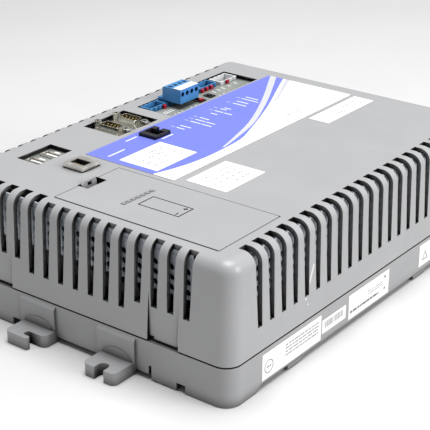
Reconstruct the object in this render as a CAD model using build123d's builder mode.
from build123d import *

import os

# Building-automation network controller: a flat vented plastic case, lying on its back.
# Origin: middle of the footprint, on the resting plane. +X along the length, +Y towards
# the connectors, +Z up out of the cover. Millimetres.

os.makedirs("parts", exist_ok=True)

# ---------------------------------------------------------------- driving dimensions
LENGTH = 300.0
WIDTH = 224.0
COVER_TOP = 85.5
BASE_TOP = 24.7
SEAM_GAP = 1.0
CORNER_R = 10.0
EDGE_R = 8.0
WALL = 3.0
LEAN_X = 3.6
LEAN_Y = 2.4

PAD_LIFT = 3.8
FLOOR_TOP = PAD_LIFT + 3.0
PAD_X = 125.4
PAD_Y = 81.0
PAD_SLOPE = 4.7

SLOT_PITCH = 11.6
SLOT_FOOT_W = 4.0
SLOT_TOP_W = 6.3
SLOT_LOW = 39.6
SLOT_HIGH = 46.2
SLOT_SIDE_LOW = 40.5
SIDE_SLOTS = 22
END_SLOTS = 15
SLOT_REACH_X = 135.2
SLOT_REACH_Y = 98.3
BACK_SLOT_REACH = 102.3
SHORT_SLOT_REACH = 141.0

DOOR_X = (-133.5, -76.5)
DOOR_Y = (-92.0, 28.0)
DOOR_T = 2.4
DOOR_GAP = 0.4
LEDGE = 2.4
LATCH_X = (-113.0, -95.8)
LATCH_Y = (20.9, 29.4)

USB_RECESS = ((-103.0, -72.5), (70.7, 89.3))
SERIAL_RECESS = ((-35.0, 5.5), (64.0, 94.8))
TERMINAL_RECESS = ((16.5, 117.5), (61.5, 92.0))
LIP_REACH = 3.0
LIP_T = 1.0
LIP_LIMIT = 96.8

FOOT_T = 8.0
FOOT_REACH = 18.3
HOOK_FOOT_Y = (15.7, 41.1)
HOOK_TIP = 18.0
HOOK_DEEP = 12.0
HOOK_ARM = 10.5
HOOK_MOUTH = 4.5
SLOT_FOOT_Y = (-44.9, -21.0)
BOSSES = ((15.9, 43.6, 28.4), (-45.8, -17.4, -33.0))
BOSS_OUT = 1.6
ARCH_W = 20.0
ARCH_H = 6.0
ARCH_DEPTH = 1.4
SNAP_ZONES = (-75.6, 51.4)
SNAP_W = 21.4
NOTCH_TOP = 28.3

CARD_Z = 81.0
CARD_T = 1.3
UPPER_BOARD_Z = 68.0
MAIN_BOARD_Z = 16.0
BOARD_T = 1.6
POLE = 5.08

LOW = MAIN_BOARD_Z + BOARD_T
HIGH = UPPER_BOARD_Z + BOARD_T
CARD_TOP = CARD_Z + CARD_T


# ---------------------------------------------------------------- small helpers
def block(x, y, z, mode=Mode.ADD):
    """Upright block between the pairs x, y and z."""
    with BuildSketch(Plane.XY.offset(z[0])) as outline:
        with Locations(((x[0] + x[1]) / 2, (y[0] + y[1]) / 2)):
            Rectangle(x[1] - x[0], y[1] - y[0])
    extrude(outline.sketch, amount=z[1] - z[0], mode=mode)


def rounded(x, y, z, radius, mode=Mode.ADD):
    """Upright block with rounded vertical corners."""
    with BuildSketch(Plane.XY.offset(z[0])) as outline:
        with Locations(((x[0] + x[1]) / 2, (y[0] + y[1]) / 2)):
            RectangleRounded(x[1] - x[0], y[1] - y[0], radius)
    extrude(outline.sketch, amount=z[1] - z[0], mode=mode)


def posts(places, z, radius, mode=Mode.ADD):
    """One round post at each place."""
    with BuildSketch(Plane.XY.offset(z[0])) as outline:
        with Locations(*places):
            Circle(radius)
    extrude(outline.sketch, amount=z[1] - z[0], mode=mode)


def hexes(places, z, radius, mode=Mode.ADD):
    """One hexagonal post at each place."""
    with BuildSketch(Plane.XY.offset(z[0])) as outline:
        with Locations(*places):
            RegularPolygon(radius, 6)
    extrude(outline.sketch, amount=z[1] - z[0], mode=mode)


def profile(plane, points, depth, mode=Mode.ADD):
    """A straight-edged outline on a plane, pushed along the plane's normal."""
    with BuildSketch(plane) as outline:
        Polygon(*points, align=None)
    extrude(outline.sketch, amount=depth, mode=mode)


def row(count, pitch, middle=0.0):
    """Evenly spaced places about a middle."""
    return [middle + pitch * (i - (count - 1) / 2) for i in range(count)]


def slot_points(place, low):
    """A vent slot seen square on: narrow at its foot, wider towards the top."""
    top = COVER_TOP + 1
    widen = (SLOT_TOP_W - SLOT_FOOT_W) / (COVER_TOP - SLOT_LOW)
    foot = (SLOT_FOOT_W + widen * (low - SLOT_LOW)) / 2
    head = (SLOT_FOOT_W + widen * (top - SLOT_LOW)) / 2
    return [(place - foot, low), (place + foot, low), (place + head, top), (place - head, top)]


def end_slot_low(index):
    """The middle seven slots of each end face reach lower than the outer four."""
    return SLOT_LOW if 4 <= index <= 10 else SLOT_HIGH


def snap_notches(zone):
    """The notches at either end of a snap zone."""
    return (zone - 0.6, zone + 1.6), (zone + SNAP_W - 3.8, zone + SNAP_W)


# ---------------------------------------------------------------- casing: base tray
CORNER_POSTS = [(sx * 138.5, sy * 100.5) for sx in (-1, 1) for sy in (-1, 1)]
BOARD_POSTS = [(x, y) for x in (-69, 30, 130) for y in (-92, 0, 92)]
CLIP_X = (-86.5, 58.5)
CLIP_W = 15.0
CLIP_Y = (-111.9, -15.8)
CLIP_Z = (0.8, 3.4)
CLIP_LIP_Z = 2.2
RAIL_HALF = 17.5


with BuildPart() as base_tray:
    with BuildSketch():
        RectangleRounded(LENGTH, WIDTH, CORNER_R)
    extrude(amount=BASE_TOP)
    # The underside is lifted between the four corner pads.
    lifted = PAD_X - PAD_SLOPE
    underside = [(-PAD_X, 0), (PAD_X, 0), (lifted, PAD_LIFT), (-lifted, PAD_LIFT)]
    profile(Plane.XZ.offset(-WIDTH), underside, 2 * WIDTH, Mode.SUBTRACT)
    block((-LENGTH, LENGTH), (-PAD_Y, PAD_Y), (0, PAD_LIFT), Mode.SUBTRACT)
    # Hollow inside.
    with BuildSketch(Plane.XY.offset(FLOOR_TOP)):
        RectangleRounded(LENGTH - 2 * WALL, WIDTH - 2 * WALL, CORNER_R - WALL)
    extrude(amount=BASE_TOP, mode=Mode.SUBTRACT)
    # The rim that the cover slides over.
    with BuildSketch(Plane.XY.offset(BASE_TOP - 4)):
        RectangleRounded(LENGTH - 2 * WALL - 0.8, WIDTH - 2 * WALL - 0.8, CORNER_R - WALL)
        RectangleRounded(
            LENGTH - 2 * WALL - 4.0, WIDTH - 2 * WALL - 4.0, CORNER_R - WALL - 1, mode=Mode.SUBTRACT
        )
    extrude(amount=7.5)
    with BuildSketch(Plane.XY.offset(BASE_TOP - 4)):
        RectangleRounded(LENGTH - 2, WIDTH - 2, CORNER_R - 1)
        RectangleRounded(
            LENGTH - 2 * WALL - 1.0, WIDTH - 2 * WALL - 1.0, CORNER_R - WALL, mode=Mode.SUBTRACT
        )
    extrude(amount=4)
    # Screw posts for the cover and studs for the main board.
    posts(CORNER_POSTS, (0.0, BASE_TOP), 5.0)
    posts(BOARD_POSTS, (FLOOR_TOP, MAIN_BOARD_Z), 4.0)
    posts(BOARD_POSTS, (FLOOR_TOP + 1, MAIN_BOARD_Z + 1), 1.3, Mode.SUBTRACT)
    posts(CORNER_POSTS, (-1.0, BASE_TOP + 1), 1.8, Mode.SUBTRACT)
    posts(CORNER_POSTS, (-1.0, 12.0), 3.6, Mode.SUBTRACT)
    # Mounting feet: a hook foot and an open-slot foot on each end.
    for side in (-1, 1):
        hook_low, hook_high = HOOK_FOOT_Y
        with BuildSketch():
            with BuildLine():
                Polyline(
                    (side * (LENGTH / 2 - 1), hook_high),
                    (side * (LENGTH / 2 + FOOT_REACH), hook_high),
                    (side * (LENGTH / 2 + FOOT_REACH), hook_high - HOOK_TIP),
                    (side * (LENGTH / 2 + HOOK_ARM + HOOK_MOUTH), hook_high - HOOK_TIP),
                    (side * (LENGTH / 2 + HOOK_ARM + HOOK_MOUTH), hook_high - HOOK_DEEP),
                    (side * (LENGTH / 2 + HOOK_ARM), hook_high - HOOK_DEEP),
                    (side * (LENGTH / 2 + HOOK_ARM), hook_low),
                    (side * (LENGTH / 2 - 1), hook_low),
                    close=True,
                )
            make_face()
            fillet(vertices().filter_by(lambda v: abs(v.X) > 168 and v.Y > hook_high - 1), 4)
            fillet(vertices().filter_by(lambda v: abs(abs(v.X) - 160.5) < 0.1 and v.Y < hook_low + 1), 4)
            fillet(vertices().filter_by(lambda v: v.Y < hook_high - 17 and abs(v.X) > 164), 1)
            fillet(vertices().filter_by(lambda v: abs(v.Y - hook_high + HOOK_DEEP) < 0.1), 2)
        extrude(amount=FOOT_T)
        slot_low, slot_high = SLOT_FOOT_Y
        with BuildSketch():
            with Locations((side * (LENGTH / 2 + FOOT_REACH / 2 - 0.5), (slot_low + slot_high) / 2)):
                RectangleRounded(FOOT_REACH + 1, slot_high - slot_low, 3.8)
            with Locations((side * (LENGTH / 2 + 2), (slot_low + slot_high) / 2)):
                Rectangle(6, slot_high - slot_low)
            with Locations((side * (LENGTH / 2 + 20), slot_low + 11.4)):
                SlotOverall(18, 7, mode=Mode.SUBTRACT)
        extrude(amount=FOOT_T)
        # A flat pad stands out above each foot, with an arched hollow just over the foot.
        for low, high, middle in BOSSES:
            top = BASE_TOP - 1
            pad = [(-1, top), (0, top), (BOSS_OUT, top - 2), (BOSS_OUT, PAD_LIFT), (-1, PAD_LIFT)]
            pad = [(side * (LENGTH / 2 + u), z) for u, z in pad]
            profile(Plane.XZ.offset(-high), pad, high - low)
            start, end = sorted((side * (LENGTH / 2 - ARCH_DEPTH), side * (LENGTH / 2 + BOSS_OUT + 0.5)))
            with BuildSketch(Plane.YZ.offset(start)) as arch:
                with Locations((middle, FOOT_T)):
                    Ellipse(ARCH_W / 2, ARCH_H)
                with Locations((middle, FOOT_T - ARCH_H / 2)):
                    Rectangle(ARCH_W + 1, ARCH_H, mode=Mode.SUBTRACT)
            extrude(arch.sketch, amount=end - start, mode=Mode.SUBTRACT)
        # Release tongues: a slit, a flexing tab and a notch beside it.
        for zone in SNAP_ZONES:
            wall = sorted((side * (LENGTH / 2 + 1), side * (LENGTH / 2 - WALL - 0.5)))
            face = sorted((side * LENGTH / 2, side * (LENGTH / 2 - WALL)))
            block(wall, (zone + 18.6, zone + 20.6), (-1, 9.4), Mode.SUBTRACT)
            block(wall, (zone - 5.6, zone + 0.6), (-1, 5.4), Mode.SUBTRACT)
            block(face, (zone + 0.6, zone + 18.6), (0.8, 9.4))
            behind = sorted((side * (LENGTH / 2 - WALL - 0.2), side * (LENGTH / 2 - 2 * WALL)))
            for notch in snap_notches(zone):
                block(behind, notch, (BASE_TOP, BASE_TOP + 4), Mode.SUBTRACT)
    # Fixed hooks and guide rails for hanging on a 35 mm rail that runs along X.
    for x in CLIP_X:
        block((x - 8, x + 8), (RAIL_HALF + 0.6, RAIL_HALF + 3.4), (0.4, PAD_LIFT + 1))
        block((x - 8, x + 8), (RAIL_HALF - 1.4, RAIL_HALF + 0.8), (0.4, CLIP_LIP_Z))
        for edge in (-1, 1):
            near = x + edge * (CLIP_W / 2 + 0.5)
            far = near + edge * 2
            block(sorted((near, far)), (-100, -24), (0.4, PAD_LIFT + 1))
            lip = near - edge * 1.6
            block(sorted((lip, far)), (-100, -80), (0.1, 0.5))
    # Cooling slots through the floor.
    with BuildSketch(Plane.XY.offset(PAD_LIFT - 1)):
        with Locations(*[(x, y) for x in row(9, 22, 12) for y in (48, 72)]):
            SlotOverall(16, 4, rotation=90)
    extrude(amount=6, mode=Mode.SUBTRACT)
base_tray.part.label = "base_tray"
export_step(base_tray.part, "parts/base_tray.step")


# ---------------------------------------------------------------- casing: top cover
COVER_LOW = BASE_TOP + SEAM_GAP
INNER_TOP = COVER_TOP - WALL

with BuildPart() as cover_hollow:
    with BuildSketch(Plane.XY.offset(COVER_LOW)):
        RectangleRounded(LENGTH - 2 * WALL, WIDTH - 2 * WALL, CORNER_R - WALL)
    with BuildSketch(Plane.XY.offset(INNER_TOP)):
        RectangleRounded(
            LENGTH - 2 * LEAN_X - 2 * WALL, WIDTH - 2 * LEAN_Y - 2 * WALL, CORNER_R - WALL
        )
    loft(ruled=True)
    fillet(faces().sort_by(Axis.Z)[-1].edges(), EDGE_R - WALL)

ETHERNET = ((-96.2, -80.6), (40.4, 56.0))
MODEM = ((-26.3, -10.4), (40.4, 54.2))
LIGHTS = [(x, 46.0) for x in row(14, 6.0, 42.0)]

with BuildPart() as top_cover:
    with BuildSketch(Plane.XY.offset(COVER_LOW)):
        RectangleRounded(LENGTH, WIDTH, CORNER_R)
    with BuildSketch(Plane.XY.offset(COVER_TOP)):
        RectangleRounded(LENGTH - 2 * LEAN_X, WIDTH - 2 * LEAN_Y, CORNER_R)
    loft(ruled=True)
    fillet(faces().sort_by(Axis.Z)[-1].edges(), EDGE_R)
    add(cover_hollow.part, mode=Mode.SUBTRACT)
    # Screw posts in the corners.
    posts(CORNER_POSTS, (COVER_LOW, INNER_TOP + 0.5), 4.5)
    posts(CORNER_POSTS, (COVER_LOW - 1, COVER_LOW + 20), 1.5, Mode.SUBTRACT)
    # The frame below the battery door, the door's own recess and the way in.
    left, right = DOOR_X
    near, far = DOOR_Y
    block((left - 4, right + 4), (near - 4, far + 4), (INNER_TOP - 2, INNER_TOP + 0.1))
    block((left - DOOR_GAP, right + DOOR_GAP), (near - DOOR_GAP, far + DOOR_GAP),
          (COVER_TOP - DOOR_T - 0.35, COVER_TOP + 1), Mode.SUBTRACT)
    block((left + LEDGE, right - LEDGE), (near - DOOR_GAP, far - LEDGE), (INNER_TOP - 3, COVER_TOP),
          Mode.SUBTRACT)
    block(LATCH_X, (far - 4, LATCH_Y[1]), (INNER_TOP - 3, COVER_TOP + 1), Mode.SUBTRACT)
    # Vent slots on all four sides, running over the rounded edge.
    outside = WIDTH / 2 + 3
    for place in row(SIDE_SLOTS, SLOT_PITCH):
        outline = slot_points(place, SLOT_SIDE_LOW)
        profile(Plane.XZ.offset(SLOT_REACH_Y), outline, outside - SLOT_REACH_Y, Mode.SUBTRACT)
        profile(Plane.XZ.offset(-outside), outline, outside - BACK_SLOT_REACH, Mode.SUBTRACT)
    for index, place in enumerate(row(END_SLOTS, SLOT_PITCH)):
        outline = slot_points(place, end_slot_low(index))
        start = LENGTH / 2 + 3
        reach = SHORT_SLOT_REACH if index < 10 else SLOT_REACH_X
        profile(Plane.YZ.offset(-start), outline, start - reach, Mode.SUBTRACT)
        profile(Plane.YZ.offset(SHORT_SLOT_REACH), outline, start - SHORT_SLOT_REACH, Mode.SUBTRACT)
    # Flat snap zones set back from each end face, with a notch at either side of them.
    for side in (-1, 1):
        for zone in SNAP_ZONES:
            face = sorted((side * (LENGTH / 2 + 1), side * (LENGTH / 2 - 1.8)))
            block(face, (zone, zone + SNAP_W), (COVER_LOW - 1, 56), Mode.SUBTRACT)
            wall = sorted((side * (LENGTH / 2 + 1), side * (LENGTH / 2 - WALL - 0.2)))
            block(wall, (zone, zone + SNAP_W), (COVER_LOW - 1, COVER_LOW + 1), Mode.SUBTRACT)
            for notch in snap_notches(zone):
                block(wall, notch, (COVER_LOW - 1, NOTCH_TOP), Mode.SUBTRACT)
    # Openings over the connectors.
    for x, y in (USB_RECESS, SERIAL_RECESS, TERMINAL_RECESS):
        block(x, y, (INNER_TOP - 1, COVER_TOP + 1), Mode.SUBTRACT)
        thinned = (y[0] - LIP_REACH, min(y[1] + LIP_REACH, LIP_LIMIT))
        block((x[0] - LIP_REACH, x[1] + LIP_REACH), thinned, (INNER_TOP - 1, COVER_TOP - LIP_T), Mode.SUBTRACT)
    for x, y in (ETHERNET, MODEM):
        block((x[0] - 0.3, x[1] + 0.3), (y[0] - 0.3, y[1] + 0.3), (INNER_TOP - 1, COVER_TOP + 1), Mode.SUBTRACT)
    posts(LIGHTS, (INNER_TOP - 1, COVER_TOP + 1), 1.15, Mode.SUBTRACT)
    # Pin holes for the door's hinge.
    HINGE_Y = near + DOOR_T / 2
    HINGE_Z = COVER_TOP - DOOR_T / 2
    with BuildSketch(Plane.YZ.offset(left - 2.6)) as pin_hole:
        with Locations((HINGE_Y, HINGE_Z)):
            Circle(0.65)
    extrude(pin_hole.sketch, amount=right - left + 5.2, mode=Mode.SUBTRACT)
top_cover.part.label = "top_cover"
export_step(top_cover.part, "parts/top_cover.step")

with BuildPart() as cover_screws:
    posts(CORNER_POSTS, (9.4, 12.0), 3.2)
    posts(CORNER_POSTS, (12.0, COVER_LOW + 17), 1.45)
    with BuildSketch(Plane.XY.offset(9.4)):
        with Locations(*CORNER_POSTS):
            Rectangle(4.0, 0.8)
            Rectangle(0.8, 4.0)
    extrude(amount=1.4, mode=Mode.SUBTRACT)
cover_screws.part.label = "cover_screws"
export_step(cover_screws.part, "parts/cover_screws.step")

# ---------------------------------------------------------------- battery door and its latch
SYMBOL_X = (-112.5, -97.9)
SYMBOL_Y = (-47.2, -17.0)
SYMBOL_LINE = 0.8
SYMBOL_DEPTH = 0.6

with BuildPart() as battery_door:
    with BuildSketch(Plane.YZ.offset(left)) as door_side:
        with Locations((near + DOOR_T / 2, HINGE_Z)):
            Circle(DOOR_T / 2)
        with Locations(((near + DOOR_T / 2 + far) / 2, HINGE_Z)):
            Rectangle(far - near - DOOR_T / 2, DOOR_T)
    extrude(door_side.sketch, amount=right - left)
    # Cut-out for the latch, and the slide bed behind it.
    block(LATCH_X, (LATCH_Y[0], far + 1), (INNER_TOP - 1, COVER_TOP + 1), Mode.SUBTRACT)
    # Hinge pins.
    for start in (left - 2.2, right - 1):
        with BuildSketch(Plane.YZ.offset(start)) as pin:
            with Locations((HINGE_Y, HINGE_Z)):
                Circle(0.6)
        extrude(pin.sketch, amount=3.2)
    # Sunken outline of a battery with its two pole marks.
    with BuildSketch(Plane.XY.offset(COVER_TOP - SYMBOL_DEPTH)) as symbol:
        with Locations(((SYMBOL_X[0] + SYMBOL_X[1]) / 2, (SYMBOL_Y[0] + SYMBOL_Y[1]) / 2)):
            Rectangle(SYMBOL_X[1] - SYMBOL_X[0], SYMBOL_Y[1] - SYMBOL_Y[0])
            Rectangle(
                SYMBOL_X[1] - SYMBOL_X[0] - 2 * SYMBOL_LINE, SYMBOL_Y[1] - SYMBOL_Y[0] - 2 * SYMBOL_LINE,
                mode=Mode.SUBTRACT,
            )
        for x, y in ((-109.2, -43.6), (-101.2, -43.6)):
            with Locations((x, y)):
                Rectangle(3.2, SYMBOL_LINE)
        with Locations((-101.2, -43.6)):
            Rectangle(SYMBOL_LINE, 3.2)
    extrude(symbol.sketch, amount=1, mode=Mode.SUBTRACT)
battery_door.part.label = "battery_door"
export_step(battery_door.part, "parts/battery_door.step")

LATCH_LEN = 12.9
LATCH_LOW = INNER_TOP - 1.3
LATCH_HIGH = COVER_TOP + 1.8
with BuildPart() as door_latch:
    # An upright finger plate, its left end sloped and stepped, with a square eye through it.
    latch_left = LATCH_X[0] + 1.9
    latch_right = latch_left + LATCH_LEN
    plate = [
        (latch_left, LATCH_LOW), (latch_right, LATCH_LOW), (latch_right, LATCH_HIGH - 2.7),
        (latch_right - 0.6, LATCH_HIGH), (latch_left + 2.6, LATCH_HIGH), (latch_left, LATCH_HIGH - 1.7),
    ]
    profile(Plane.XZ.offset(-far - 0.2), plate, 1.2)
    eye_x = (latch_left + 4.8, latch_left + 8.6)
    block(eye_x, (far - 2, far + 1), (LATCH_HIGH - 4.1, LATCH_HIGH - 1.3), Mode.SUBTRACT)
    # A bridge below the cover leads to a wider foot that runs under the door's plate.
    foot_far = LATCH_Y[0] + 4
    block((latch_left, latch_right), (foot_far, far + 0.2), (LATCH_LOW, LATCH_LOW + 1))
    block((latch_left - 3, latch_right + 1.4), (LATCH_Y[0] - 2.1, foot_far), (LATCH_LOW, LATCH_LOW + 1.4))
door_latch.part.label = "door_latch"
export_step(door_latch.part, "parts/door_latch.step")

# ---------------------------------------------------------------- rail clips under the base
for number, x in enumerate(CLIP_X, start=1):
    half = CLIP_W / 2
    with BuildPart() as rail_clip:
        block((x - half, x + half), CLIP_Y, CLIP_Z)
        tongue_y = (CLIP_Y[1] - 2.6, CLIP_Y[1] + 1)
        block((x - half, x + half), tongue_y, (CLIP_LIP_Z, CLIP_Z[1] + 1), Mode.SUBTRACT)
        block((x - 4, x + 4), (CLIP_Y[0] + 2.4, CLIP_Y[0] + 5.4), (0, CLIP_Z[1] + 1), Mode.SUBTRACT)
    rail_clip.part.label = f"rail_clip_{number}"
    export_step(rail_clip.part, f"parts/rail_clip_{number}.step")

# ---------------------------------------------------------------- perforated steel shield
SHIELD_X = 141.0
SHIELD_Y = 103.5
SHIELD_LOW = 20.0
SHIELD_HIGH = 79.4
SHIELD_CUT = 16.0
SHEET = 1.0
HOLE_R = 2.05
HOLE_PITCH = 5.7
HOLE_RISE = 6.25
HOLE_ROWS = 4
HOLE_FIRST = 70.7


def shield_outline(inset):
    """Plan outline of the shield with its corners cut off."""
    x = SHIELD_X - inset
    y = SHIELD_Y - inset
    cut = SHIELD_CUT - inset * 0.6
    return [(x, y - cut), (x - cut, y), (cut - x, y), (-x, y - cut),
            (-x, cut - y), (cut - x, -y), (x - cut, -y), (x, cut - y)]


with BuildPart() as shield_cage:
    profile(Plane.XY.offset(SHIELD_LOW), shield_outline(0), SHIELD_HIGH - SHIELD_LOW)
    profile(Plane.XY.offset(SHIELD_LOW - 1), shield_outline(SHEET), SHIELD_HIGH - SHIELD_LOW + 1 - SHEET,
            Mode.SUBTRACT)
    profile(Plane.XY.offset(SHIELD_LOW), shield_outline(5.5), SHIELD_HIGH, Mode.SUBTRACT)
    levels = [HOLE_FIRST - HOLE_RISE * i for i in range(HOLE_ROWS)]
    with BuildSketch(Plane.XZ.offset(-SHIELD_Y - 1)) as side_holes:
        with Locations(*[(x, z) for x in row(43, HOLE_PITCH) for z in levels]):
            Circle(HOLE_R)
    extrude(side_holes.sketch, amount=2 * SHIELD_Y + 2, mode=Mode.SUBTRACT)
    with BuildSketch(Plane.YZ.offset(-SHIELD_X - 1)) as end_holes:
        with Locations(*[(y, z) for y in row(29, HOLE_PITCH, 3.6) for z in levels]):
            Circle(HOLE_R)
    extrude(end_holes.sketch, amount=2 * SHIELD_X + 2, mode=Mode.SUBTRACT)
    # Clearance for the foot of the battery tray's flange.
    block((-142, -130), (-70, 6), (SHIELD_LOW - 1, SHIELD_LOW + 3), Mode.SUBTRACT)
shield_cage.part.label = "shield_cage"
export_step(shield_cage.part, "parts/shield_cage.step")

# ---------------------------------------------------------------- backup battery
BATTERY_X = (-129.0, -86.0)
BATTERY_Y = (-80.5, 16.5)
BATTERY_Z = (FLOOR_TOP + 1.2, FLOOR_TOP + 1.2 + 51.0)

with BuildPart() as battery_tray:
    block((BATTERY_X[0] - 1.6, BATTERY_X[1] + 1.6), (BATTERY_Y[0] - 1.6, BATTERY_Y[1] + 1.6), (FLOOR_TOP, 24))
    block((BATTERY_X[0] - 0.4, BATTERY_X[1] + 0.4), (BATTERY_Y[0] - 0.4, BATTERY_Y[1] + 0.4),
          (FLOOR_TOP + 1.2, 30), Mode.SUBTRACT)
    for y in row(4, 24, -32):
        block((BATTERY_X[0] + 6, BATTERY_X[1] - 6), (y - 7, y + 7), (FLOOR_TOP - 1, FLOOR_TOP + 2), Mode.SUBTRACT)
battery_tray.part.label = "battery_tray"
export_step(battery_tray.part, "parts/battery_tray.step")

with BuildPart() as backup_battery:
    rounded(BATTERY_X, BATTERY_Y, (BATTERY_Z[0], BATTERY_Z[1] - 3), 2)
    rounded((BATTERY_X[0] + 1, BATTERY_X[1] - 1), (BATTERY_Y[0] + 1, BATTERY_Y[1] - 1),
            (BATTERY_Z[1] - 3, BATTERY_Z[1]), 1.5)
    block((-113, -102), (BATTERY_Y[0] + 10, BATTERY_Y[1] - 10), (BATTERY_Z[1] - 1, BATTERY_Z[1] + 1), Mode.SUBTRACT)
backup_battery.part.label = "backup_battery"
export_step(backup_battery.part, "parts/backup_battery.step")

with BuildPart() as battery_terminals:
    for x in (-119.5, -95.5):
        block((x - 2.4, x + 2.4), (-70, -69.2), (BATTERY_Z[1], BATTERY_Z[1] + 6.5))
        block((x - 3.4, x + 3.4), (-72, -66), (BATTERY_Z[1], BATTERY_Z[1] + 0.8))
battery_terminals.part.label = "battery_terminals"
export_step(battery_terminals.part, "parts/battery_terminals.step")

# ---------------------------------------------------------------- boards
SPACER_X = (-58, 119.6)
SPACERS = [(x, y) for x in SPACER_X for y in (38, 92.5)]
CARD_POSTS = [(x, y) for x in SPACER_X for y in (64.5, 92.5)]
UPPER_X = (-108.0, 124.0)
UPPER_Y = (33.0, 97.0)

with BuildPart() as main_board:
    rounded((-76, 134), (-96.5, 96.5), (MAIN_BOARD_Z, LOW), 2)
    posts(BOARD_POSTS, (MAIN_BOARD_Z - 1, LOW + 1), 1.7, Mode.SUBTRACT)
    posts(SPACERS, (MAIN_BOARD_Z - 1, LOW + 1), 1.7, Mode.SUBTRACT)
main_board.part.label = "main_board"
export_step(main_board.part, "parts/main_board.step")

with BuildPart() as board_screws:
    posts(BOARD_POSTS, (FLOOR_TOP + 1.2, LOW), 1.25)
    posts(BOARD_POSTS, (LOW, LOW + 2), 3.0)
    with BuildSketch(Plane.XY.offset(LOW + 1)):
        with Locations(*BOARD_POSTS):
            Rectangle(3.4, 0.7)
            Rectangle(0.7, 3.4)
    extrude(amount=2, mode=Mode.SUBTRACT)
board_screws.part.label = "board_screws"
export_step(board_screws.part, "parts/board_screws.step")

with BuildPart() as board_spacers:
    hexes(SPACERS, (LOW, UPPER_BOARD_Z), 3.2)
    posts(SPACERS, (MAIN_BOARD_Z - 4, LOW), 1.5)
    posts(SPACERS, (UPPER_BOARD_Z, HIGH), 1.5)
    hexes([place for place in SPACERS if place not in CARD_POSTS], (HIGH, HIGH + 2.4), 3.0)
    hexes(CARD_POSTS, (HIGH, CARD_Z), 3.0)
board_spacers.part.label = "board_spacers"
export_step(board_spacers.part, "parts/board_spacers.step")

with BuildPart() as upper_board:
    rounded(UPPER_X, UPPER_Y, (UPPER_BOARD_Z, HIGH), 2)
    posts(SPACERS, (UPPER_BOARD_Z - 1, HIGH + 1), 1.7, Mode.SUBTRACT)
upper_board.part.label = "upper_board"
export_step(upper_board.part, "parts/upper_board.step")

with BuildPart() as riser_board:
    block((-40, 100), (34.4, 36.0), (LOW + 6, UPPER_BOARD_Z - 4))
riser_board.part.label = "riser_board"
export_step(riser_board.part, "parts/riser_board.step")

with BuildPart() as riser_sockets:
    for z in ((LOW, LOW + 9), (UPPER_BOARD_Z - 7, UPPER_BOARD_Z)):
        block((-36, 96), (31.6, 38.8), z)
    block((-40.2, 100.2), (34.3, 36.1), (LOW + 5.9, UPPER_BOARD_Z - 3.9), Mode.SUBTRACT)
riser_sockets.part.label = "riser_sockets"
export_step(riser_sockets.part, "parts/riser_sockets.step")

# ---------------------------------------------------------------- electronics on the boards
CHIPS = [(-50, -20), (-22, -62), (60, 60), (96, -24), (96, 8), (-54, 66), (20, 68), (-20, 66)]

with BuildPart() as chips:
    for x, y in CHIPS:
        block((x - 8, x + 8), (y - 5.5, y + 5.5), (LOW, LOW + 2.4))
    for x in (-70, -45, 0, 30, 60, 90):
        block((x - 5, x + 5), (50, 57), (HIGH, HIGH + 1.8))
chips.part.label = "chips"
export_step(chips.part, "parts/chips.step")

with BuildPart() as processor:
    block((14, 44), (-42, -12), (LOW, LOW + 2.6))
processor.part.label = "processor"
export_step(processor.part, "parts/processor.step")

with BuildPart() as heatsink:
    block((12, 46), (-44, -10), (LOW + 2.6, LOW + 5.2))
    for x in row(9, 4.0, 29):
        block((x - 0.6, x + 0.6), (-44, -10), (LOW + 5.2, LOW + 20))
heatsink.part.label = "heatsink"
export_step(heatsink.part, "parts/heatsink.step")

CAPACITORS = [(72, -70), (90, -70), (108, -70), (72, -50)]
with BuildPart() as capacitors:
    posts(CAPACITORS, (LOW, LOW + 25), 7.0)
    with BuildSketch(Plane.XY.offset(LOW + 24.6)):
        with Locations(*CAPACITORS):
            Rectangle(9, 0.6)
            Rectangle(0.6, 9)
    extrude(amount=1, mode=Mode.SUBTRACT)
capacitors.part.label = "capacitors"
export_step(capacitors.part, "parts/capacitors.step")

with BuildPart() as transformer_core:
    block((-6, 36), (-88, -54), (LOW, LOW + 8))
    block((-6, 36), (-88, -54), (LOW + 24, LOW + 32))
    block((-6, 2), (-88, -54), (LOW + 8, LOW + 24))
    block((28, 36), (-88, -54), (LOW + 8, LOW + 24))
transformer_core.part.label = "transformer_core"
export_step(transformer_core.part, "parts/transformer_core.step")

with BuildPart() as transformer_winding:
    rounded((2.6, 27.4), (-91, -51), (LOW + 8, LOW + 23.6), 4)
transformer_winding.part.label = "transformer_winding"
export_step(transformer_winding.part, "parts/transformer_winding.step")

with BuildPart() as flash_socket:
    block((-66, -20), (-6, 28), (LOW, LOW + 5))
    block((-62, -24), (-7, 26), (LOW + 1, LOW + 5.5), Mode.SUBTRACT)
flash_socket.part.label = "flash_socket"
export_step(flash_socket.part, "parts/flash_socket.step")

with BuildPart() as flash_card:
    rounded((-61.6, -24.4), (-10, 25.6), (LOW + 1, LOW + 4.5), 1)
flash_card.part.label = "flash_card"
export_step(flash_card.part, "parts/flash_card.step")

with BuildPart() as clock_cell:
    posts([(70, 16)], (LOW + 1.3, LOW + 4.6), 10)
clock_cell.part.label = "clock_cell"
export_step(clock_cell.part, "parts/clock_cell.step")

with BuildPart() as clock_cell_holder:
    posts([(70, 16)], (LOW, LOW + 4), 12)
    posts([(70, 16)], (LOW + 1.3, LOW + 5), 10.2, Mode.SUBTRACT)
    block((66, 74), (1, 8), (LOW + 1.3, LOW + 5), Mode.SUBTRACT)
clock_cell_holder.part.label = "clock_cell_holder"
export_step(clock_cell_holder.part, "parts/clock_cell_holder.step")

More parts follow.
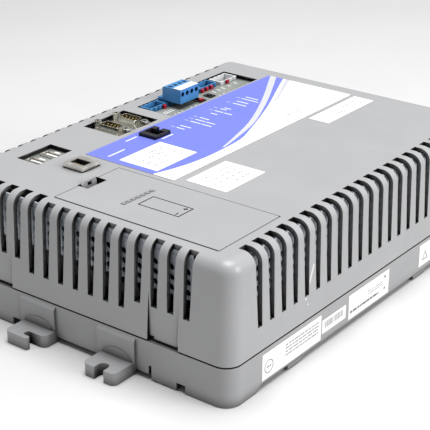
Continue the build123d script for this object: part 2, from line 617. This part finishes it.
# ---------------------------------------------------------------- card that floors the recesses
USB_PLACES = [(-95.6, 80.0), (-81.8, 80.0)]
SERIAL_PLACES = [(-24.2, 79.4), (-5.4, 79.4)]
JACKSCREW_SPAN = 24.99
HEADER_Y = (81.4, 91.0)
HEADER_A = (18.4, 35.6)
HEADER_B = (36.0, 58.3)
HEADER_C = (58.9, 76.1)
HEADER_D = (76.7, 93.9)
LON_X = (97.2, 116.2)
LON_Y = (79.8, 91.0)
SWITCH_X = (57.4, 64.2)
SWITCH_Y = (67.8, 76.6)
RELOAD_X = (70.2, 76.2)
RELOAD_Y = (68.6, 75.6)
RELOAD_MIDDLE = ((RELOAD_X[0] + RELOAD_X[1]) / 2, (RELOAD_Y[0] + RELOAD_Y[1]) / 2)

with BuildPart() as connector_card:
    rounded((-106, 121), (60.6, 97), (CARD_Z, CARD_TOP), 2)
    for x, y in USB_PLACES:
        block((x - 3.6, x + 3.6), (y - 6.9, y + 6.9), (CARD_Z - 1, CARD_TOP + 1), Mode.SUBTRACT)
    for x, y in SERIAL_PLACES:
        block((x - 5.6, x + 5.6), (y - 15, y + 15), (CARD_Z - 1, CARD_TOP + 1), Mode.SUBTRACT)
    for x in (HEADER_A, HEADER_B, HEADER_C, HEADER_D):
        block((x[0] - 0.2, x[1] + 0.2), (HEADER_Y[0] - 0.2, HEADER_Y[1] + 0.2), (CARD_Z - 1, CARD_TOP + 1),
              Mode.SUBTRACT)
    block((LON_X[0] - 0.2, LON_X[1] + 0.2), (LON_Y[0] - 0.2, LON_Y[1] + 0.2), (CARD_Z - 1, CARD_TOP + 1),
          Mode.SUBTRACT)
    for x, y in ((SWITCH_X, SWITCH_Y), (RELOAD_X, RELOAD_Y)):
        block((x[0] - 0.1, x[1] + 0.1), (y[0] - 0.1, y[1] + 0.1), (CARD_Z - 1, CARD_TOP + 1), Mode.SUBTRACT)
connector_card.part.label = "connector_card"
export_step(connector_card.part, "parts/connector_card.step")

# ---------------------------------------------------------------- network jack
ETH_TOP = 88.3
ETH_MOUTH_X = (-92.6, -85.2)
ETH_MOUTH_Y = (42.6, 54.2)
CONTACT_PITCH = 1.02
CONTACT_W = 0.4
with BuildPart() as ethernet_shell:
    block(*ETHERNET, (HIGH, ETH_TOP))
    block((ETHERNET[0][0] + 0.5, ETHERNET[0][1] - 0.5), (ETHERNET[1][0] + 0.5, ETHERNET[1][1] - 0.5),
          (HIGH - 1, ETH_TOP - 0.6), Mode.SUBTRACT)
    block(ETH_MOUTH_X, ETH_MOUTH_Y, (ETH_TOP - 2, ETH_TOP + 1), Mode.SUBTRACT)
ethernet_shell.part.label = "ethernet_shell"
export_step(ethernet_shell.part, "parts/ethernet_shell.step")

with BuildPart() as ethernet_insert:
    block((-95.5, -81.3), (41.1, 55.3), (HIGH, ETH_TOP - 0.7))
    block(ETH_MOUTH_X, ETH_MOUTH_Y, (HIGH + 4, ETH_TOP), Mode.SUBTRACT)
ethernet_insert.part.label = "ethernet_insert"
export_step(ethernet_insert.part, "parts/ethernet_insert.step")

with BuildPart() as ethernet_contacts:
    # Each spring comes off the wall at the mouth and leans down into the cavity.
    back = ETH_MOUTH_X[0]
    spring = [
        (back, ETH_TOP - 0.75), (back + 2.4, ETH_TOP - 0.75), (back + 2.8, ETH_TOP - 4),
        (back + 2.4, ETH_TOP - 4), (back + 2.1, ETH_TOP - 1.1), (back, ETH_TOP - 1.1),
    ]
    for y in row(8, CONTACT_PITCH, 48.4):
        profile(Plane.XZ.offset(-y - CONTACT_W / 2), spring, CONTACT_W)
ethernet_contacts.part.label = "ethernet_contacts"
export_step(ethernet_contacts.part, "parts/ethernet_contacts.step")

# ---------------------------------------------------------------- telephone-line jack
MODEM_TOP = 88.0
MODEM_MOUTH_X = (-22.4, -14.6)
MODEM_MOUTH_Y = (41.7, 52.9)
MODEM_KEY_Y = (46.3, 49.8)
with BuildPart() as modem_jack:
    block(*MODEM, (HIGH, MODEM_TOP))
    block(MODEM_MOUTH_X, MODEM_MOUTH_Y, (HIGH + 3, MODEM_TOP + 1), Mode.SUBTRACT)
    block((MODEM_MOUTH_X[1] - 0.2, MODEM_MOUTH_X[1] + 2), MODEM_KEY_Y, (HIGH + 6, MODEM_TOP + 1), Mode.SUBTRACT)
    block((MODEM_MOUTH_X[1] - 0.2, MODEM[0][1] + 1), MODEM_KEY_Y, (COVER_TOP + 0.25, MODEM_TOP + 1), Mode.SUBTRACT)
modem_jack.part.label = "modem_jack"
export_step(modem_jack.part, "parts/modem_jack.step")

with BuildPart() as modem_contacts:
    back = MODEM_MOUTH_X[0]
    tip = back + 0.9
    spring = [(back, MODEM_TOP - 2.4), (back, MODEM_TOP - 13), (tip, MODEM_TOP - 12), (tip, MODEM_TOP - 4)]
    for y in row(4, CONTACT_PITCH, 47.3):
        profile(Plane.XZ.offset(-y - CONTACT_W / 2), spring, CONTACT_W)
modem_contacts.part.label = "modem_contacts"
export_step(modem_contacts.part, "parts/modem_contacts.step")

# ---------------------------------------------------------------- USB sockets
USB_TOP = 83.6
with BuildPart() as usb_shells:
    for x, y in USB_PLACES:
        rounded((x - 3.4, x + 3.4), (y - 6.7, y + 6.7), (HIGH, USB_TOP), 0.6)
        rounded((x - 2.9, x + 2.9), (y - 6.2, y + 6.2), (HIGH + 1, USB_TOP + 1), 0.4, Mode.SUBTRACT)
usb_shells.part.label = "usb_shells"
export_step(usb_shells.part, "parts/usb_shells.step")

with BuildPart() as usb_tongues:
    for x, y in USB_PLACES:
        block((x - 2.8, x + 2.8), (y - 6.1, y + 6.1), (HIGH + 1, HIGH + 3))
        block((x - 0.1, x + 1.9), (y - 5.4, y + 5.4), (HIGH + 3, USB_TOP - 1))
usb_tongues.part.label = "usb_tongues"
export_step(usb_tongues.part, "parts/usb_tongues.step")

# ---------------------------------------------------------------- serial ports
D_TOP = 87.2


def d_outline(x, y, grow):
    """Outline of a nine-way shell: one long side shorter than the other."""
    wide = 8.45 + grow
    narrow = 7.0 + grow
    half = 4.15 + grow
    return [(x - half, y - wide), (x + half, y - narrow), (x + half, y + narrow), (x - half, y + wide)]


with BuildPart() as serial_shells:
    for x, y in SERIAL_PLACES:
        block((x - 6.25, x + 6.25), (y - 14.6, y + 14.6), (CARD_TOP, CARD_TOP + 0.85))
        with BuildSketch(Plane.XY.offset(CARD_TOP + 0.85)) as shell:
            Polygon(*d_outline(x, y, 0), align=None)
            fillet(vertices(), 1.6)
        extrude(shell.sketch, amount=D_TOP - CARD_TOP - 0.85)
        with BuildSketch(Plane.XY.offset(CARD_TOP - 1)) as mouth:
            Polygon(*d_outline(x, y, -0.45), align=None)
            fillet(vertices(), 1.2)
        extrude(mouth.sketch, amount=8, mode=Mode.SUBTRACT)
        for end in (-1, 1):
            posts([(x, y + end * JACKSCREW_SPAN / 2)], (CARD_TOP - 1, CARD_TOP + 2), 1.6, Mode.SUBTRACT)
serial_shells.part.label = "serial_shells"
export_step(serial_shells.part, "parts/serial_shells.step")

with BuildPart() as serial_inserts:
    for x, y in SERIAL_PLACES:
        with BuildSketch(Plane.XY.offset(HIGH)) as insert:
            Polygon(*d_outline(x, y, -0.5), align=None)
            fillet(vertices(), 1.2)
        extrude(insert.sketch, amount=CARD_TOP + 1 - HIGH)
serial_inserts.part.label = "serial_inserts"
export_step(serial_inserts.part, "parts/serial_inserts.step")

with BuildPart() as serial_pins:
    for x, y in SERIAL_PLACES:
        places = [(x - 1.42, y + v) for v in row(5, 2.77)] + [(x + 1.42, y + v) for v in row(4, 2.77)]
        posts(places, (CARD_TOP + 1, D_TOP - 0.7), 0.5)
serial_pins.part.label = "serial_pins"
export_step(serial_pins.part, "parts/serial_pins.step")

JACKSCREWS = [(x, y + end * JACKSCREW_SPAN / 2) for x, y in SERIAL_PLACES for end in (-1, 1)]
with BuildPart() as serial_jackscrews:
    hexes(JACKSCREWS, (CARD_TOP + 0.85, D_TOP + 0.3), 2.7)
    posts(JACKSCREWS, (CARD_Z - 4, CARD_TOP + 0.85), 1.45)
    posts(JACKSCREWS, (CARD_TOP + 0.9, D_TOP + 1), 1.2, Mode.SUBTRACT)
serial_jackscrews.part.label = "serial_jackscrews"
export_step(serial_jackscrews.part, "parts/serial_jackscrews.step")

# ---------------------------------------------------------------- field-bus headers and plug
HEADER_TOP = 85.4


def header(x, y, top):
    """An open-topped trough, its long walls notched at each pole."""
    block(x, y, (HIGH, top))
    block((x[0] + 1, x[1] - 1), (y[0] + 1, y[1] - 1), (HIGH + 4, top + 1), Mode.SUBTRACT)
    count = round((x[1] - x[0] - 2) / POLE)
    for middle in row(count, POLE, (x[0] + x[1]) / 2):
        block((middle - 1.1, middle + 1.1), (y[0] - 1, y[0] + 0.5), (top - 3, top + 1), Mode.SUBTRACT)
        block((middle - 1.4, middle + 1.4), (y[1] - 0.5, y[1] + 1), (top - 4, top + 1), Mode.SUBTRACT)


for name, x in (("a", HEADER_A), ("b", HEADER_B), ("c", HEADER_C), ("d", HEADER_D)):
    with BuildPart() as bus_header:
        header(x, HEADER_Y, HEADER_TOP)
    bus_header.part.label = f"bus_header_{name}"
    export_step(bus_header.part, f"parts/bus_header_{name}.step")

with BuildPart() as lon_header:
    header(LON_X, LON_Y, HEADER_TOP - 0.6)
lon_header.part.label = "lon_header"
export_step(lon_header.part, "parts/lon_header.step")

with BuildPart() as header_pins:
    middle_y = (HEADER_Y[0] + HEADER_Y[1]) / 2
    for x, count in ((HEADER_A, 3), (HEADER_B, 4), (HEADER_C, 3), (HEADER_D, 3), (LON_X, 3)):
        for place in row(count, POLE, (x[0] + x[1]) / 2):
            block((place - 0.5, place + 0.5), (middle_y - 0.5, middle_y + 0.5), (HIGH + 4, HIGH + 12))
header_pins.part.label = "header_pins"
export_step(header_pins.part, "parts/header_pins.step")

PLUG_X = (36.99, 57.31)
PLUG_Y = (69.6, 85.7)
PLUG_Z = (86.4, 96.5)
WIRE_Z = 92.9
MOUTH_R = 1.42
MOUTH_FLARE = 2.5
CAGE_Y = (76.4, 83.8)
CAGE_Z = (90.9, 94.65)
CAGE_HALF = 2.1
CAGE_BORE = 1.35
CLAMP_Y = 80.6
PLUG_POLES = row(4, POLE, (PLUG_X[0] + PLUG_X[1]) / 2)

with BuildPart() as terminal_plug:
    with BuildSketch(Plane.YZ.offset(PLUG_X[0])) as plug_side:
        Polygon(
            (PLUG_Y[0], PLUG_Z[0]), (HEADER_Y[1] - 1.2, PLUG_Z[0]), (HEADER_Y[1] - 1.2, PLUG_Z[0] + 1.6),
            (PLUG_Y[1], PLUG_Z[0] + 1.6), (PLUG_Y[1], PLUG_Z[1] - 0.8), (PLUG_Y[1] - 1.2, PLUG_Z[1]),
            (PLUG_Y[0], PLUG_Z[1]),
            align=None,
        )
    extrude(plug_side.sketch, amount=PLUG_X[1] - PLUG_X[0])
    block((PLUG_X[0] + 0.3, PLUG_X[1] - 0.3), (HEADER_Y[0] + 1.3, HEADER_Y[1] - 1.3), (HIGH + 5, PLUG_Z[0]))
    for place in PLUG_POLES:
        # Flared wire mouth, cage pocket, clamp-screw shaft and the sleeve for the header's pin.
        block((place - CAGE_HALF, place + CAGE_HALF), CAGE_Y, CAGE_Z, Mode.SUBTRACT)
        with BuildSketch(Plane.XZ.offset(-CAGE_Y[0])) as mouth:
            with Locations((place, WIRE_Z)):
                Circle(MOUTH_R)
        extrude(mouth.sketch, amount=CAGE_Y[0] - PLUG_Y[0] + 0.5, taper=-MOUTH_FLARE, mode=Mode.SUBTRACT)
        posts([(place, CLAMP_Y)], (CAGE_Z[1] - 0.1, PLUG_Z[1] + 1), 1.75, Mode.SUBTRACT)
        block((place - 0.9, place + 0.9), (middle_y - 0.9, middle_y + 0.9), (HIGH + 4, HIGH + 13), Mode.SUBTRACT)
terminal_plug.part.label = "terminal_plug"
export_step(terminal_plug.part, "parts/terminal_plug.step")

with BuildPart() as wire_cages:
    for place in PLUG_POLES:
        block((place - CAGE_HALF, place + CAGE_HALF), CAGE_Y, CAGE_Z)
        with BuildSketch(Plane.XZ.offset(-CAGE_Y[1] - 1)) as wire_way:
            with Locations((place, WIRE_Z)):
                Circle(CAGE_BORE)
        extrude(wire_way.sketch, amount=CAGE_Y[1] - CAGE_Y[0] + 2, mode=Mode.SUBTRACT)
wire_cages.part.label = "wire_cages"
export_step(wire_cages.part, "parts/wire_cages.step")

with BuildPart() as plug_screws:
    posts([(place, CLAMP_Y) for place in PLUG_POLES], (CAGE_Z[1], PLUG_Z[1] - 0.6), 1.7)
    for place in PLUG_POLES:
        slot_y = (CLAMP_Y - 0.3, CLAMP_Y + 0.3)
        block((place - 2, place + 2), slot_y, (PLUG_Z[1] - 1.3, PLUG_Z[1]), Mode.SUBTRACT)
plug_screws.part.label = "plug_screws"
export_step(plug_screws.part, "parts/plug_screws.step")

with BuildPart() as marker_strip:
    block((PLUG_X[0] + 0.1, PLUG_X[1] - 0.1), (PLUG_Y[0] + 0.1, 76.3), (PLUG_Z[1], PLUG_Z[1] + 0.3))
marker_strip.part.label = "marker_strip"
export_step(marker_strip.part, "parts/marker_strip.step")

with BuildPart() as coding_keys:
    for x in (32.9, 76.0, 81.3, 86.6):
        block((x - 1.2, x + 1.2), (HEADER_Y[0] - 1.7, HEADER_Y[0]), (CARD_TOP, HEADER_TOP - 0.4))
    block((102.9, 105.3), (LON_Y[0] - 1.5, LON_Y[0]), (CARD_TOP, HEADER_TOP - 0.4))
coding_keys.part.label = "coding_keys"
export_step(coding_keys.part, "parts/coding_keys.step")

# ---------------------------------------------------------------- end-of-line switch and reload button
SWITCH_TOP = CARD_TOP + 0.7
with BuildPart() as line_switch:
    block(SWITCH_X, SWITCH_Y, (HIGH, SWITCH_TOP))
    block((SWITCH_X[0] + 1.2, SWITCH_X[1] - 1.2), (SWITCH_Y[0] + 0.8, SWITCH_Y[1] - 0.8),
          (SWITCH_TOP - 2.5, SWITCH_TOP + 1), Mode.SUBTRACT)
line_switch.part.label = "line_switch"
export_step(line_switch.part, "parts/line_switch.step")

with BuildPart() as switch_lever:
    block((SWITCH_X[0] + 1.5, SWITCH_X[1] - 1.5), (SWITCH_Y[0] + 1.1, SWITCH_Y[0] + 3.1),
          (SWITCH_TOP - 2.2, SWITCH_TOP + 1.1))
switch_lever.part.label = "switch_lever"
export_step(switch_lever.part, "parts/switch_lever.step")

with BuildPart() as reload_switch:
    block(RELOAD_X, RELOAD_Y, (HIGH, SWITCH_TOP))
    posts([RELOAD_MIDDLE], (SWITCH_TOP - 3, SWITCH_TOP + 1), 2.1, Mode.SUBTRACT)
reload_switch.part.label = "reload_switch"
export_step(reload_switch.part, "parts/reload_switch.step")

with BuildPart() as reload_button:
    posts([RELOAD_MIDDLE], (SWITCH_TOP - 2, SWITCH_TOP + 0.6), 1.8)
reload_button.part.label = "reload_button"
export_step(reload_button.part, "parts/reload_button.step")

with BuildPart() as light_pipes:
    posts(LIGHTS, (HIGH + 1.8, COVER_TOP - 0.05), 1.0)
    block((LIGHTS[0][0] - 2, LIGHTS[-1][0] + 2), (44.4, 47.6), (HIGH, HIGH + 2))
light_pipes.part.label = "light_pipes"
export_step(light_pipes.part, "parts/light_pipes.step")

# ---------------------------------------------------------------- labels
LABEL_X = (-72.0, 129.5)
LABEL_Y = (-11.6, 59.3)
with BuildPart() as overlay_label:
    rounded(LABEL_X, LABEL_Y, (COVER_TOP, COVER_TOP + 0.25), 1)
    block((MODEM[0][0] - 0.4, MODEM[0][1] + 0.4), (MODEM[1][0] - 0.4, MODEM[1][1] + 0.4),
          (COVER_TOP - 1, COVER_TOP + 1), Mode.SUBTRACT)
overlay_label.part.label = "overlay_label"
export_step(overlay_label.part, "parts/overlay_label.step")

with BuildPart() as top_stickers:
    block((-67.1, -26.9), (5.5, 35.9), (COVER_TOP + 0.25, COVER_TOP + 0.4))
    block((-67.4, -27.3), (-47.5, -17.2), (COVER_TOP, COVER_TOP + 0.15))
    block((69.7, 128.2), (-31.0, -15.1), (COVER_TOP, COVER_TOP + 0.15))
top_stickers.part.label = "top_stickers"
export_step(top_stickers.part, "parts/top_stickers.step")

SIDE_LABELS = (((-120.0, -60.0), (5.2, 21.8)), ((-58.8, -32.6), (8.4, 17.4)), ((-29.4, 18.4), (5.0, 21.6)),
               ((57.4, 118.0), (6.9, 22.4)))
with BuildPart() as side_labels:
    for x, z in SIDE_LABELS:
        block(x, (-WIDTH / 2 - 0.15, -WIDTH / 2), z)
side_labels.part.label = "side_labels"
export_step(side_labels.part, "parts/side_labels.step")
